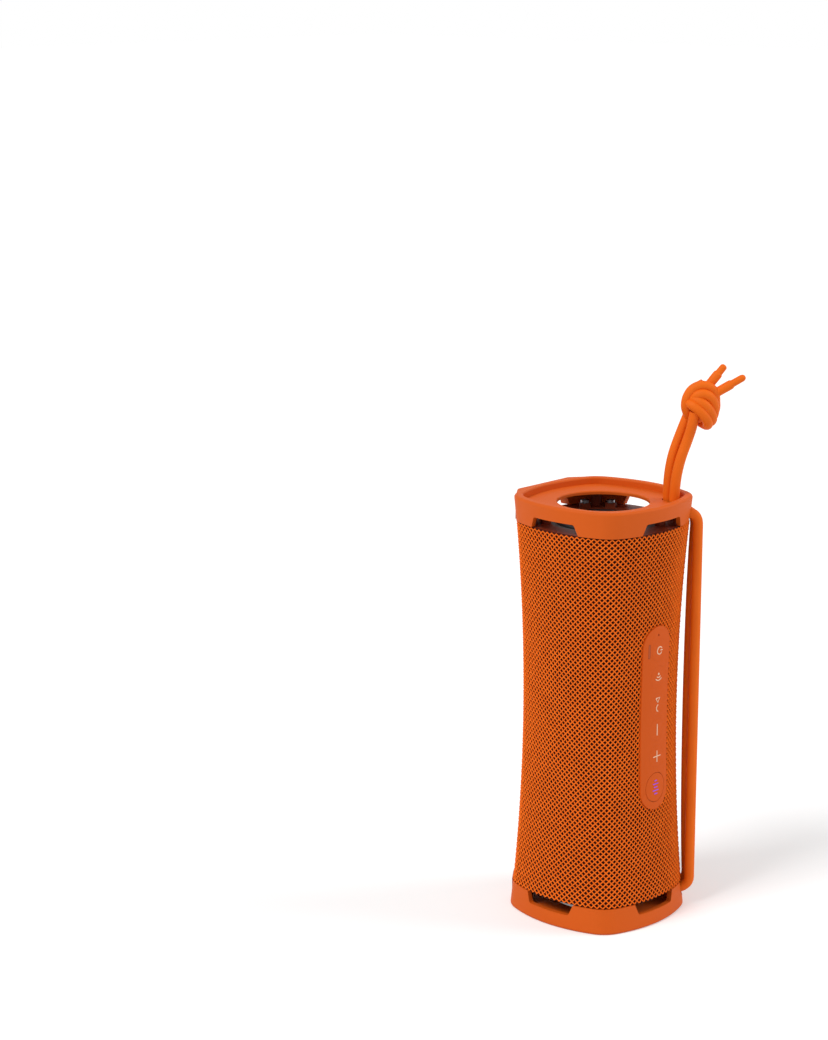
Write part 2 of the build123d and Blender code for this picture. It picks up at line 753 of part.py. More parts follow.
basket_end = baffle_front - woofer_basket_depth
basket_neck = (2 * woofer_magnet_radius, 2 * woofer_magnet_radius - basket_neck_inset)

with BuildPart() as basket_hollow:
    with BuildSketch(Plane.XZ.offset(baffle_front + woofer_flange_thickness)):
        upright_slot(shrunk(woofer_frame_opening, woofer_basket_wall), woofer_z)
    with BuildSketch(Plane.XZ.offset(basket_end)):
        upright_slot(shrunk(basket_neck, woofer_basket_wall), woofer_z)
    loft()

with BuildPart() as woofer_basket:
    with BuildSketch(Plane.XZ.offset(baffle_front + woofer_flange_thickness)):
        upright_slot(woofer_frame_opening, woofer_z)
    with BuildSketch(Plane.XZ.offset(basket_end)):
        upright_slot(basket_neck, woofer_z)
    loft()
    with BuildSketch(Plane.XZ.offset(baffle_front)):
        upright_slot(woofer_flange, woofer_z)
        with Locations(*woofer_screw_places):
            Circle(screw_shaft_radius + thread_gap, mode=Mode.SUBTRACT)
    extrude(amount=woofer_flange_thickness)
    add(basket_hollow.part, mode=Mode.SUBTRACT)
save(woofer_basket, "woofer_basket")
save(back_screws(woofer_screw_places, -baffle_front - woofer_flange_thickness, woofer_screw_length, 1),
     "woofer_screws")

with BuildPart() as woofer_magnet:
    with BuildSketch(Plane.XZ.offset(basket_end)):
        with Locations((0, woofer_z)):
            Circle(woofer_magnet_radius)
    extrude(amount=-woofer_magnet_height)
    with BuildSketch(Plane.XZ.offset(basket_end)):
        with Locations((0, woofer_z)):
            Circle(coil_radius + coil_gap + coil_thickness)
            Circle(coil_radius - coil_gap, mode=Mode.SUBTRACT)
    extrude(amount=magnet_back_plate - woofer_magnet_height, mode=Mode.SUBTRACT)
save(woofer_magnet, "woofer_magnet")

cone_front = baffle_front + woofer_flange_thickness
cone_neck_y = baffle_front - woofer_basket_depth / 2
cone_neck = tuple(2 * coil_radius + margin for margin in cone_neck_margin)

with BuildPart() as cone_hollow:
    with BuildSketch(Plane.XZ.offset(cone_front + cone_thickness)):
        upright_slot(woofer_cone_size, woofer_z)
    with BuildSketch(Plane.XZ.offset(cone_neck_y + cone_thickness)):
        upright_slot(cone_neck, woofer_z)
    loft()

with BuildPart() as woofer_cone:
    with BuildSketch(Plane.XZ.offset(cone_front)):
        upright_slot(woofer_cone_size, woofer_z)
    with BuildSketch(Plane.XZ.offset(cone_neck_y)):
        upright_slot(cone_neck, woofer_z)
    loft()
    add(cone_hollow.part, mode=Mode.SUBTRACT)
save(woofer_cone, "woofer_cone")

with BuildPart() as voice_coil:
    with BuildSketch(Plane.XZ.offset(cone_neck_y)):
        with Locations((0, woofer_z)):
            Circle(coil_radius + coil_thickness)
            Circle(coil_radius, mode=Mode.SUBTRACT)
    extrude(amount=basket_end - cone_neck_y - coil_depth)
save(voice_coil, "voice_coil")

with BuildPart() as woofer_surround:
    with BuildSketch(Plane.XZ.offset(cone_front)):
        upright_slot(shrunk(woofer_frame_opening, woofer_basket_wall + seat_gap), woofer_z)
        upright_slot([side + 2 * seat_gap for side in woofer_cone_size], woofer_z, mode=Mode.SUBTRACT)
    extrude(amount=surround_rise)
    fillet(woofer_surround.edges().group_by(Axis.Y)[0], surround_rise / 2)
save(woofer_surround, "woofer_surround")

with BuildPart() as tweeter_body:
    with BuildSketch(Plane.XZ.offset(baffle_front)):
        with Locations((0, tweeter_z)):
            Circle(tweeter_flange_radius)
    extrude(amount=woofer_flange_thickness)
    with BuildSketch(Plane.XZ.offset(baffle_front)):
        with Locations((0, tweeter_z)):
            Circle(tweeter_magnet_radius)
    extrude(amount=-tweeter_magnet_height)
    with BuildSketch(Plane.XZ.offset(baffle_front + woofer_flange_thickness)):
        with Locations((0, tweeter_z)):
            Circle(tweeter_dome_radius + ring_gap)
    extrude(amount=-woofer_flange_thickness - 1, mode=Mode.SUBTRACT)
save(tweeter_body, "tweeter_body")

dome_base = baffle_front + dome_lift
dome_sphere = (tweeter_dome_radius**2 + tweeter_dome_rise**2) / (2 * tweeter_dome_rise)
dome_shoulder = sqrt(dome_sphere**2 - tweeter_dome_radius**2 / 4) - dome_sphere + tweeter_dome_rise
with BuildPart() as tweeter_dome:
    with BuildSketch(Plane.YZ):
        with BuildLine():
            Line((-dome_base - tweeter_dome_rise, tweeter_z), (-dome_base, tweeter_z))
            Line((-dome_base, tweeter_z), (-dome_base, tweeter_z + tweeter_dome_radius))
            ThreePointArc((-dome_base, tweeter_z + tweeter_dome_radius),
                          (-dome_base - dome_shoulder, tweeter_z + tweeter_dome_radius / 2),
                          (-dome_base - tweeter_dome_rise, tweeter_z))
        make_face()
    revolve(axis=Axis((0, 0, tweeter_z), (0, 1, 0)))
save(tweeter_dome, "tweeter_dome")


# ---- Main board, USB port, battery ---------------------------------------------------------
board_back = main_board_y + main_board_thickness
with BuildPart() as main_board:
    with BuildSketch(Plane.XZ.offset(-main_board_y)):
        with Locations((0, main_board_z)):
            RectangleRounded(*main_board_size, 2)
        with Locations(*board_post_places):
            Circle(screw_shaft_radius + thread_gap, mode=Mode.SUBTRACT)
    extrude(amount=-main_board_thickness)
save(main_board, "main_board")

with BuildPart() as board_components:
    for x, z, width, height, tall in board_chips:
        with BuildSketch(Plane.XZ.offset(-main_board_y)):
            with Locations((x, main_board_z + z)):
                Rectangle(width, height)
        extrude(amount=tall)
save(board_components, "board_components")
save(back_screws(board_post_places, main_board_y, board_screw_length - 0.5, 1), "board_screws")

with BuildPart() as usb_port:
    with BuildSketch(Plane.XZ.offset(-board_back)):
        with Locations(bezel_center):
            RectangleRounded(usb_size[0], usb_size[1], usb_size[0] / 2 - 0.01)
    extrude(amount=-usb_depth)
    with BuildSketch(Plane.XZ.offset(-board_back - usb_depth)):
        with Locations(bezel_center):
            RectangleRounded(*shrunk(usb_size, usb_wall), usb_size[0] / 2 - usb_wall - 0.01)
    extrude(amount=usb_depth - 1, mode=Mode.SUBTRACT)
    with BuildSketch(Plane.XZ.offset(-board_back - 1)):
        with Locations(bezel_center):
            Rectangle(usb_size[0] / 5, usb_size[1] * 0.7)
    extrude(amount=-usb_depth + 2)
save(usb_port, "usb_port")

bezel_low = port_z - bezel_size[1] / 2
bezel_high = port_z + bezel_size[1] / 2

with BuildPart() as flap_block:
    waisted_body(bezel_low - 2, bezel_high + 2, 0)
    waisted_body(bezel_low - 3, bezel_high + 3, flap_thickness, mode=Mode.SUBTRACT)
    with BuildSketch(Plane.XZ):
        oblong(bezel_center, flap_size[1], flap_size[0])
    extrude(amount=-2 * half_width, mode=Mode.INTERSECT)

with BuildPart() as flap_pocket:
    waisted_body(bezel_low - 2, bezel_high + 2, -2)
    waisted_body(bezel_low - 3, bezel_high + 3, flap_thickness + seat_gap, mode=Mode.SUBTRACT)
    with BuildSketch(Plane.XZ):
        oblong(bezel_center, flap_size[1] + 2 * flap_gap, flap_size[0] + 2 * flap_gap)
    extrude(amount=-2 * half_width, mode=Mode.INTERSECT)

with BuildPart() as port_bezel:
    waisted_body(bezel_low - 2, bezel_high + 2, -bezel_proud)
    with BuildSketch(Plane.XZ.offset(-bezel_floor_y)):
        oblong(bezel_center, bezel_size[1], bezel_size[0])
    extrude(amount=-half_width, mode=Mode.INTERSECT)
    add(flap_pocket.part, mode=Mode.SUBTRACT)
    with BuildSketch(Plane.XZ.offset(-bezel_floor_y + 1)):
        oblong(bezel_center, port_recess[1], port_recess[0])
    extrude(amount=-half_width, mode=Mode.SUBTRACT)
save(port_bezel, "port_bezel")

plug_size = shrunk(port_recess, flap_plug_gap)
plug_root_y = half_width - waist_inset(port_z) - flap_thickness
with BuildPart() as port_cover:
    add(flap_block.part)
    with BuildSketch(Plane.XZ.offset(-plug_root_y + flap_plug_depth)):
        oblong(bezel_center, plug_size[1], plug_size[0])
    extrude(amount=-flap_plug_depth - flap_thickness / 2)
save(port_cover, "port_cover")

cell_places = [(-cell_spread, cell_y), (cell_spread, cell_y)]
with BuildPart() as battery_cells:
    with BuildSketch(Plane.XY.offset(cell_bottom_z)):
        with Locations(*cell_places):
            Circle(cell_radius)
    extrude(amount=cell_length - cell_cap_height)
    with BuildSketch(Plane.XY.offset(cell_bottom_z + cell_length - cell_cap_height)):
        with Locations(*cell_places):
            Circle(cell_radius / 3)
    extrude(amount=cell_cap_height)
save(battery_cells, "battery_cells")

holder_inside = (2 * (cell_spread + cell_radius + holder_gap), 2 * (cell_radius + holder_gap))
with BuildPart() as battery_holder:
    with BuildSketch(Plane.XY.offset(cell_bottom_z - holder_wall)):
        with Locations((0, cell_y)):
            Rectangle(*shrunk(holder_inside, -holder_wall))
    extrude(amount=cell_length + 2 * holder_wall)
    with BuildSketch(Plane.XY.offset(cell_bottom_z)):
        with Locations((0, cell_y - holder_wall)):
            Rectangle(holder_inside[0], holder_inside[1] + 2 * holder_wall)
    extrude(amount=cell_length, mode=Mode.SUBTRACT)
save(battery_holder, "battery_holder")


# ---- Strap --------------------------------------------------------------------------------
def strand(points):
    """A cord strand along straight runs and tangent arcs; prints its radii and its length."""
    runs = [(b - a).length for a, b in zip(points, points[1:])]
    turns = [(b - a).get_angle(c - b) for a, b, c in zip(points, points[1:], points[2:])]
    radii = [0.45 * min(pair) / tan(radians(turn) / 2) for pair, turn in zip(zip(runs, runs[1:]), turns)]
    with BuildPart() as piece:
        with BuildLine() as route:
            FilletPolyline(*points, radius=radii)
        path = route.wire()
        with BuildSketch(Plane(origin=path @ 0, z_dir=path % 0)):
            Circle(strand_diameter / 2)
        sweep()
    section = pi * strand_diameter**2 / 4
    print("strand radii", [round(radius, 1) for radius in radii], "length", round(path.length, 1),
          "volume error", round(piece.part.volume / (section * path.length) - 1, 4))
    return piece


front_route = [strap_point(*place) for place in front_strand_places]
rear_route = [strap_point(*place) for place in rear_strand_places]
save(strand(front_route), "strap_strand_front")
save(strand(rear_route), "strap_strand_rear")

with BuildPart() as strap_stopper:
    with BuildSketch(strap_plane(strap_anchor_radius, 0, strap_bottom_z)):
        RectangleRounded(stopper_size[1], stopper_size[2], 1)
    extrude(amount=-stopper_size[0])
save(strap_stopper, "strap_stopper")

with BuildPart() as strap_knot:
    with BuildSketch(Plane(origin=strap_point(*knot_center), x_dir=(1, 1, 0), z_dir=(1, -1, 0))):
        Ellipse(knot_radius, knot_half_height)
        with Locations((-knot_radius, 0)):
            Rectangle(2 * knot_radius, 2 * knot_half_height, mode=Mode.SUBTRACT)
    revolve(axis=Axis(strap_point(*knot_center), (0, 0, 1)))
save(strap_knot, "strap_knot")


def tail(start, end):
    """One free end of the strap, a short straight stub with a rounded tip."""
    with BuildPart() as piece:
        with BuildSketch(Plane(origin=start, z_dir=end - start)):
            Circle(tail_diameter / 2)
        extrude(amount=(end - start).length)
        fillet(piece.edges().filter_by(GeomType.CIRCLE).sort_by_distance(end)[0], tail_diameter / 5)
    return piece


save(tail(*[strap_point(*place) for place in upper_tail_places]), "strap_tail_upper")
save(tail(*[strap_point(*place) for place in lower_tail_places]), "strap_tail_lower")
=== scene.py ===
"""Looks of the portable bluetooth speaker: woven sleeve, soft bumpers, control strip and knotted strap.
Metres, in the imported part's own frame: +Z along the body, drivers to -Y, controls to +X."""
import json
from math import atan2, pi, radians, sqrt

import bmesh
import bpy
import numpy as np
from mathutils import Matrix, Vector


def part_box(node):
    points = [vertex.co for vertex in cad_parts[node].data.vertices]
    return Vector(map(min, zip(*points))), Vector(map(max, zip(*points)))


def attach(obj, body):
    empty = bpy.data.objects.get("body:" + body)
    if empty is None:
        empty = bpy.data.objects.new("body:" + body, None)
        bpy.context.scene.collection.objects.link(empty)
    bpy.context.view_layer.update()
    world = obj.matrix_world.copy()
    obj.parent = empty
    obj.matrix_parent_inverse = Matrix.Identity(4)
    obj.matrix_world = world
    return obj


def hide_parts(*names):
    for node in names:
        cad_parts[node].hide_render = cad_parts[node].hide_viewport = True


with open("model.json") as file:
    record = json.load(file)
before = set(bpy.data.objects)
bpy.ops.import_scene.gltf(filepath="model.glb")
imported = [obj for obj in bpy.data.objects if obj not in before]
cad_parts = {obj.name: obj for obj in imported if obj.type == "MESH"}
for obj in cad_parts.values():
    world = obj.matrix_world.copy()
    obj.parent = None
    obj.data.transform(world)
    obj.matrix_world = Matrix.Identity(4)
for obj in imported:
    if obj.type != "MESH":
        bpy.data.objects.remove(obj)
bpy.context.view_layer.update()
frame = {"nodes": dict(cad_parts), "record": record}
MM = 0.001
HOUSING = "housing"

# ---- Body shape, as in the part ------------------------------------------------------------
BODY_LENGTH = 206.0 * MM
HALF_WIDTH = 38.25 * MM
SIDE_RADIUS = 66.0 * MM
CORNER_RADIUS = 15.0 * MM
WAIST_DEPTH = 5.3 * MM
STRIP_PROUD = 0.5 * MM
SLEEVE_LOW, SLEEVE_HIGH = (corner[2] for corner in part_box("fabric_sleeve"))
STRIP_LOW, STRIP_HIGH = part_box("control_strip")
BEZEL_LOW, BEZEL_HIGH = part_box("port_bezel")
SIDE_CENTER = HALF_WIDTH - SIDE_RADIUS
CENTRE_GAP = SIDE_RADIUS - CORNER_RADIUS
CORNER_CENTER = (SIDE_CENTER + sqrt(2 * CENTRE_GAP**2 - SIDE_CENTER**2)) / 2
JOIN_ANGLE = atan2(CORNER_CENTER, CORNER_CENTER - SIDE_CENTER)

# ---- Weave ---------------------------------------------------------------------------------
COLUMNS = 85                  # diamonds around the sleeve
ROW_HEIGHT = 2.68 * MM        # height of one diamond
THREAD_RADIUS = 0.33 * MM
THREAD_SIDES = 6
THREAD_DEPTH = 0.5 * MM       # middle of the weave under the outer skin
THREAD_WAVE = 0.22 * MM
# Dark sheet under the threads: painted shade that shows through the holes of the weave.
SHADE_SHEET_DEPTH = 0.93 * MM
SHADE_SHEET_WALL = 0.1 * MM
SHADE_SHEET_RINGS, SHADE_SHEET_COLUMNS = 91, 4 * 32
THREAD_TUCK = 1.5 * MM        # how far cut threads run in under a neighbour's edge

# ---- Strap ---------------------------------------------------------------------------------
STRAND_DIAMETER = 5.0 * MM
# Routes are lists of (distance out, distance across, height), in millimetres.
STRAP_TOP, STRAP_BOTTOM = 197.4, 7.9
STRAP_ANCHOR = 31.0
FRONT_ROUTE = [(STRAP_ANCHOR, -2.6, STRAP_BOTTOM), (44.9, -2.6, STRAP_BOTTOM), (44.9, -2.6, 21.0),
               (44.9, -2.6, 102.0), (44.9, -2.6, 185.0), (44.9, -2.6, STRAP_TOP), (33.3, -2.4, STRAP_TOP),
               (33.6, -2.2, 212.0), (35.9, -1.5, 223.0), (39.2, -1.2, 232.0), (41.2, -2.6, 239.5),
               (42.0, -3.4, 246.0)]
REAR_ROUTE = [(STRAP_ANCHOR, 2.6, STRAP_BOTTOM), (44.8, 2.6, STRAP_BOTTOM), (43.9, 2.6, 25.0),
              (43.1, 2.6, 55.0), (42.7, 2.6, 103.0), (43.1, 2.6, 151.0), (43.9, 2.6, 182.0),
              (44.8, 2.6, STRAP_TOP), (31.0, 2.4, STRAP_TOP), (30.9, 2.3, 212.0), (32.4, 2.7, 223.0),
              (35.8, 2.9, 233.4), (39.6, 2.8, 243.4)]
FRONT_LENGTH, REAR_LENGTH = 0.251, 0.2562

# Knot: bands of cord that wrap it, each as (distance out, distance across, height).
BAND_DIAMETER = 4.9 * MM
KNOT_BANDS = {
    "outer_wrap": [(40.5, 1.5, 242.5), (38.0, -0.5, 246.5), (38.0, -1.8, 252.0), (40.6, -2.6, 256.8),
                   (45.2, -2.6, 258.6), (50.0, -2.0, 257.0), (52.2, -0.5, 252.5), (52.0, 1.5, 247.5)],
    "inner_wrap": [(39.8, 0.5, 250.0), (41.2, -3.4, 253.4), (45.5, -4.6, 255.0), (49.6, -4.0, 252.8),
                   (51.4, -2.4, 248.0), (51.2, -0.5, 243.0), (49.0, 2.0, 240.0)],
    "front_diagonal": [(38.8, 0.5, 250.5), (39.6, -4.2, 250.0), (42.6, -6.2, 248.2), (46.2, -6.3, 244.8),
                       (48.4, -4.6, 240.8), (48.2, -1.0, 238.8), (46.0, 2.5, 239.8)],
    "second_diagonal": [(41.0, -2.5, 252.6), (44.0, -5.4, 251.4), (47.6, -5.6, 248.4), (50.0, -4.2, 244.4),
                        (50.6, -1.2, 240.8), (48.6, 2.4, 239.6)],
    "back_diagonal": [(40.0, 2.0, 243.0), (41.5, 5.2, 247.0), (44.5, 6.0, 251.5), (48.5, 5.0, 254.5),
                      (51.0, 2.0, 253.0)],
    "back_lower": [(42.5, 2.0, 240.0), (45.0, 5.4, 243.0), (48.0, 6.0, 247.5), (50.5, 4.6, 251.0),
                   (51.5, 1.0, 254.0)],
    "back_upper": [(38.4, 2.0, 247.0), (39.5, 4.6, 251.5), (42.5, 5.4, 255.5), (46.5, 3.5, 258.0)],
    "back_side": [(48.8, 3.5, 240.0), (51.6, 3.0, 243.5), (52.6, 1.5, 248.0), (51.5, -0.5, 252.0)],
}
KNOT_CORE = (45.2, 0.0, 248.6)
KNOT_CORE_SIZE = (5.0 * MM, 5.0 * MM, 8.6 * MM)
# Free ends: where each starts and ends, in millimetres, and their profile as (share of the way, radius).
TAILS = {
    "strap_tail_upper": ((48.4, 0.6, 257.4), (56.3, 1.0, 267.4)),
    "strap_tail_lower": ((49.5, -0.8, 253.0), (65.6, -1.4, 262.4)),
}
TAIL_PROFILE = [(0.0, 2.2), (0.55, 2.25), (0.6, 2.15), (0.625, 1.85), (0.65, 1.75), (0.9, 1.7), (0.95, 1.5),
                (0.985, 1.0), (1.0, 0.4)]

# ---- Symbols on the keys: strokes across (towards -Z) and up (towards +Y), in millimetres -----
STROKE_RADIUS = 0.27 * MM
STROKE_LIFT = 0.02 * MM
KEY_GAP = 0.25 * MM
CLOSED_GAP = 0.04 * MM        # what is left of the gap under the thin skin over the round keys
KEY_STEM_RADIUS = 1.8 * MM
SAME_POINT = 1e-6             # vertices closer than this are one

# ---- Finish --------------------------------------------------------------------------------
SOFT_GLOSS = 0.2              # how strongly the moulded pieces and the cord reflect
WOVEN_GLOSS = 0.15            # the same for the threads and the control strip
MOULDED_SHADES = 38.0         # scale of the drift between two shades of one colour
SHEATH_SHADES = 90.0
THREAD_SHADES = 260.0
MOULDED_GRAIN, MOULDED_GRAIN_DEPTH = 2600.0, 0.03 * MM
SHEATH_GRAIN, SHEATH_GRAIN_DEPTH = 1500.0, 0.06 * MM

# ---- Camera and studio ---------------------------------------------------------------------
CAMERA_AZIMUTH = radians(39.263)
CAMERA_TURN = radians(43.612)
CAMERA_TILT = radians(12.907)
CAMERA_REACH = 1.18432
CAMERA_HEIGHT = 0.46392
CAMERA_LENS = 88.275
SKY_LEVEL = 0.5
FLOOR_LIFT = 0.22
FLOOR_WHITE = 0.86
FLOOR_REACH = 8.0
# Distant lights: direction towards the light, strength, and spread in degrees.
SUNS = {"key": ((-0.15, -0.9, 1.0), 1.7, 25), "rim": ((0.65, 0.62, 0.5), 1.1, 30)}


# ---- Materials -----------------------------------------------------------------------------
def material(name, color, roughness, **sockets):
    """A Principled material with plain values set on its own sockets."""
    made = bpy.data.materials.new(name)
    made.use_nodes = True
    shader = made.node_tree.nodes["Principled BSDF"]
    shader.inputs["Base Color"].default_value = (*color, 1)
    shader.inputs["Roughness"].default_value = roughness
    for label, value in sockets.items():
        shader.inputs[label.replace("_", " ")].default_value = value
    return made


def node(made, kind, **values):
    """A node with its settings and named input values."""
    new = made.node_tree.nodes.new(kind)
    for label, value in values.items():
        if hasattr(new, label):
            setattr(new, label, value)
        else:
            new.inputs[label.replace("_", " ")].default_value = value
    return new


def join(made, source, output, target, socket):
    """Link one node's output to another's socket."""
    made.node_tree.links.new(source.outputs[output], target.inputs[socket])


def shader_of(made):
    return made.node_tree.nodes["Principled BSDF"]


def vary_color(made, dark, light, scale, detail=2.0):
    """Base colour drifting between two shades over the surface."""
    place = node(made, "ShaderNodeTexCoord")
    noise = node(made, "ShaderNodeTexNoise", Scale=scale, Detail=detail)
    ramp = node(made, "ShaderNodeMix", data_type="RGBA")
    ramp.inputs[6].default_value = (*dark, 1)
    ramp.inputs[7].default_value = (*light, 1)
    join(made, place, "Object", noise, "Vector")
    join(made, noise, "Fac", ramp, 0)
    made.node_tree.links.new(ramp.outputs[2], shader_of(made).inputs["Base Color"])


def grain(made, scale, depth, detail=3.0):
    """Fine moulded grain, as a bump from noise on Object coordinates."""
    place = node(made, "ShaderNodeTexCoord")
    noise = node(made, "ShaderNodeTexNoise", Scale=scale, Detail=detail)
    bump = node(made, "ShaderNodeBump", Strength=1.0, Distance=depth)
    join(made, place, "Object", noise, "Vector")
    join(made, noise, "Fac", bump, "Height")
    join(made, bump, "Normal", shader_of(made), "Normal")


def moulded(name, dark, light, roughness, **sockets):
    """A moulded finish: two shades that drift into each other, with a fine grain."""
    made = material(name, light, roughness, **{"Specular_IOR_Level": SOFT_GLOSS, **sockets})
    vary_color(made, dark, light, MOULDED_SHADES)
    grain(made, MOULDED_GRAIN, MOULDED_GRAIN_DEPTH)
    return made


def cord_sheath(name, dark, light):
    """Tight woven sheath: soft sheen-free finish with a coarser grain than the moulded pieces have."""
    made = material(name, light, 0.62, Specular_IOR_Level=SOFT_GLOSS)
    vary_color(made, dark, light, SHEATH_SHADES)
    grain(made, SHEATH_GRAIN, SHEATH_GRAIN_DEPTH, detail=2.0)
    return made


def make_materials():
    made = {
        "bumper_rubber": moulded("bumper_rubber", (0.61, 0.094, 0.003), (0.67, 0.106, 0.005), 0.6),
        "control_rubber": moulded("control_rubber", (0.60, 0.085, 0.003), (0.65, 0.094, 0.004), 0.6,
                                  Specular_IOR_Level=WOVEN_GLOSS),
        "inner_frame": moulded("inner_frame", (0.16, 0.022, 0.006), (0.22, 0.030, 0.008), 0.5),
        "thread": material("thread", (0.85, 0.15, 0.008), 0.8, Specular_IOR_Level=WOVEN_GLOSS),
        # Near-black sheet under the weave: painted shade in the holes between the threads.
        "thread_backing": moulded("thread_backing", (0.035, 0.003, 0.0006), (0.05, 0.0045, 0.001), 0.9),
        "cabinet_plastic": moulded("cabinet_plastic", (0.40, 0.07, 0.01), (0.46, 0.085, 0.012), 0.5),
        "radiator_black": moulded("radiator_black", (0.012, 0.012, 0.014), (0.02, 0.02, 0.022), 0.38),
        "black_rubber": moulded("black_rubber", (0.010, 0.010, 0.012), (0.018, 0.018, 0.02), 0.6),
        "screw_steel": moulded("screw_steel", (0.32, 0.32, 0.34), (0.42, 0.42, 0.44), 0.35, Metallic=1.0),
        "plated_steel": moulded("plated_steel", (0.5, 0.5, 0.52), (0.6, 0.6, 0.62), 0.3, Metallic=1.0),
        "light_lens": moulded("light_lens", (0.40, 0.062, 0.006), (0.46, 0.072, 0.008), 0.25),
        "circuit_board": moulded("circuit_board", (0.010, 0.09, 0.035), (0.015, 0.13, 0.05), 0.35),
        "component_black": moulded("component_black", (0.015, 0.015, 0.018), (0.03, 0.03, 0.034), 0.45),
        "cone_paper": moulded("cone_paper", (0.03, 0.03, 0.033), (0.05, 0.05, 0.055), 0.75),
        "battery_wrap": moulded("battery_wrap", (0.03, 0.08, 0.25), (0.05, 0.12, 0.34), 0.3),
        "strap_cord": cord_sheath("strap_cord", (0.76, 0.128, 0.002), (0.86, 0.152, 0.003)),
        # Pale cream on the raised symbols is a painted highlight.
        "symbol_pale": moulded("symbol_pale", (0.86, 0.55, 0.36), (0.92, 0.62, 0.43), 0.45),
        "symbol_violet": moulded("symbol_violet", (0.33, 0.06, 0.75), (0.42, 0.10, 0.86), 0.4),
    }
    vary_color(made["thread"], (0.74, 0.118, 0.005), (1.0, 0.195, 0.012), THREAD_SHADES)
    return made


# ---- Shared shapes -------------------------------------------------------------------------
def waist_inset(z):
    """How far the waist pulls the skin in at a height."""
    middle = BODY_LENGTH / 2
    return WAIST_DEPTH * (1 - ((z - middle) / middle) ** 2)


def skin_points(around, z, depth):
    """Points on the waisted skin: share of the way around, height, depth under the surface."""
    around, z, depth = np.broadcast_arrays(np.asarray(around, float), z, depth)
    inset = waist_inset(z) + depth
    side, corner = SIDE_RADIUS - inset, CORNER_RADIUS - inset
    half_side = side * JOIN_ANGLE
    corner_run = corner * (pi / 2 - 2 * JOIN_ANGLE)
    quarter = np.floor(around * 4)
    run = (around * 4 - quarter) * (2 * half_side + corner_run)
    from_end = 2 * half_side + corner_run - run
    on_first, on_last = run < half_side, from_end < half_side
    angle = np.where(on_first, run / side,
                     np.where(on_last, pi / 2 - from_end / side, JOIN_ANGLE + (run - half_side) / corner))
    radius = np.where(on_first | on_last, side, corner)
    center_x = np.where(on_first, SIDE_CENTER, np.where(on_last, 0, CORNER_CENTER))
    center_y = np.where(on_last, SIDE_CENTER, np.where(on_first, 0, CORNER_CENTER))
    x, y = center_x + radius * np.cos(angle), center_y + radius * np.sin(angle)
    turn = quarter * pi / 2
    return np.stack([x * np.cos(turn) - y * np.sin(turn), x * np.sin(turn) + y * np.cos(turn), z], -1)


def new_object(name, points, faces=(), edges=()):
    mesh = bpy.data.meshes.new(name)
    mesh.from_pydata([tuple(p) for p in points], list(edges), list(faces))
    made = bpy.data.objects.new(name, mesh)
    bpy.context.collection.objects.link(made)
    return made


def shade_smooth(made, angle=None):
    made.data.polygons.foreach_set("use_smooth", [True] * len(made.data.polygons))
    if angle is not None:
        made.data.set_sharp_from_angle(angle=angle)
    return made


def finish_piece(made, body, surface):
    """Give a piece its material and its body."""
    made.data.materials.clear()
    made.data.materials.append(MATERIALS[surface])
    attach(made, body)
    return made


def in_oblong(across, up, low, high, margin):
    """True inside a round-ended opening that stands on end, widened by a margin."""
    half = (high[0] - low[0]) / 2
    middle = (low[0] + high[0]) / 2
    nearest = np.clip(up, low[1] + half, high[1] - half)
    return np.hypot(across - middle, up - nearest) < half + margin


def inside_openings(points, margin):
    """True where the sleeve is cut away for the control strip and the port bezel."""
    x, y, z = points.T
    strip = in_oblong(y, z, STRIP_LOW[1:3], STRIP_HIGH[1:3], margin) & (x > 0)
    bezel = in_oblong(x, z, (BEZEL_LOW[0], BEZEL_LOW[2]), (BEZEL_HIGH[0], BEZEL_HIGH[2]), margin) & (y > 0)
    return strip | bezel


def swept(name, points, edges, radius, sides, surface):
    """Round-section mesh along every edge chain, made by a Geometry Nodes tree."""
    source = new_object(name, points, edges=edges)
    tree = bpy.data.node_groups.new(name + "_sweep", "GeometryNodeTree")
    tree.interface.new_socket("Geometry", in_out="INPUT", socket_type="NodeSocketGeometry")
    wanted_radius = tree.interface.new_socket("Radius", in_out="INPUT", socket_type="NodeSocketFloat")
    wanted_sides = tree.interface.new_socket("Sides", in_out="INPUT", socket_type="NodeSocketInt")
    tree.interface.new_socket("Geometry", in_out="OUTPUT", socket_type="NodeSocketGeometry")
    add = tree.nodes.new
    entry, leave = add("NodeGroupInput"), add("NodeGroupOutput")
    curve = add("GeometryNodeMeshToCurve")
    profile = add("GeometryNodeCurvePrimitiveCircle")
    sweep = add("GeometryNodeCurveToMesh")
    smooth = add("GeometryNodeSetShadeSmooth")
    real = add("GeometryNodeRealizeInstances")
    paint = add("GeometryNodeSetMaterial")
    sweep.inputs["Fill Caps"].default_value = True
    paint.inputs["Material"].default_value = MATERIALS[surface]
    link = tree.links.new
    link(entry.outputs["Geometry"], curve.inputs["Mesh"])
    link(entry.outputs["Radius"], profile.inputs["Radius"])
    link(entry.outputs["Sides"], profile.inputs["Resolution"])
    link(curve.outputs["Curve"], sweep.inputs["Curve"])
    link(profile.outputs["Curve"], sweep.inputs["Profile Curve"])
    link(sweep.outputs["Mesh"], smooth.inputs["Geometry"])
    link(smooth.outputs["Geometry"], real.inputs["Geometry"])
    link(real.outputs["Geometry"], paint.inputs["Geometry"])
    link(paint.outputs["Geometry"], leave.inputs["Geometry"])
    modifier = source.modifiers.new("sweep", "NODES")
    modifier.node_group = tree
    modifier[wanted_radius.identifier] = radius
    modifier[wanted_sides.identifier] = sides
    return apply_modifiers(source)


def apply_modifiers(source):
    """Replace an object by the plain mesh that its modifiers make."""
    bpy.context.view_layer.update()
    evaluated = source.evaluated_get(bpy.context.evaluated_depsgraph_get())
    plain = bpy.data.meshes.new_from_object(evaluated)
    source.modifiers.clear()
    source.data = plain
    return source


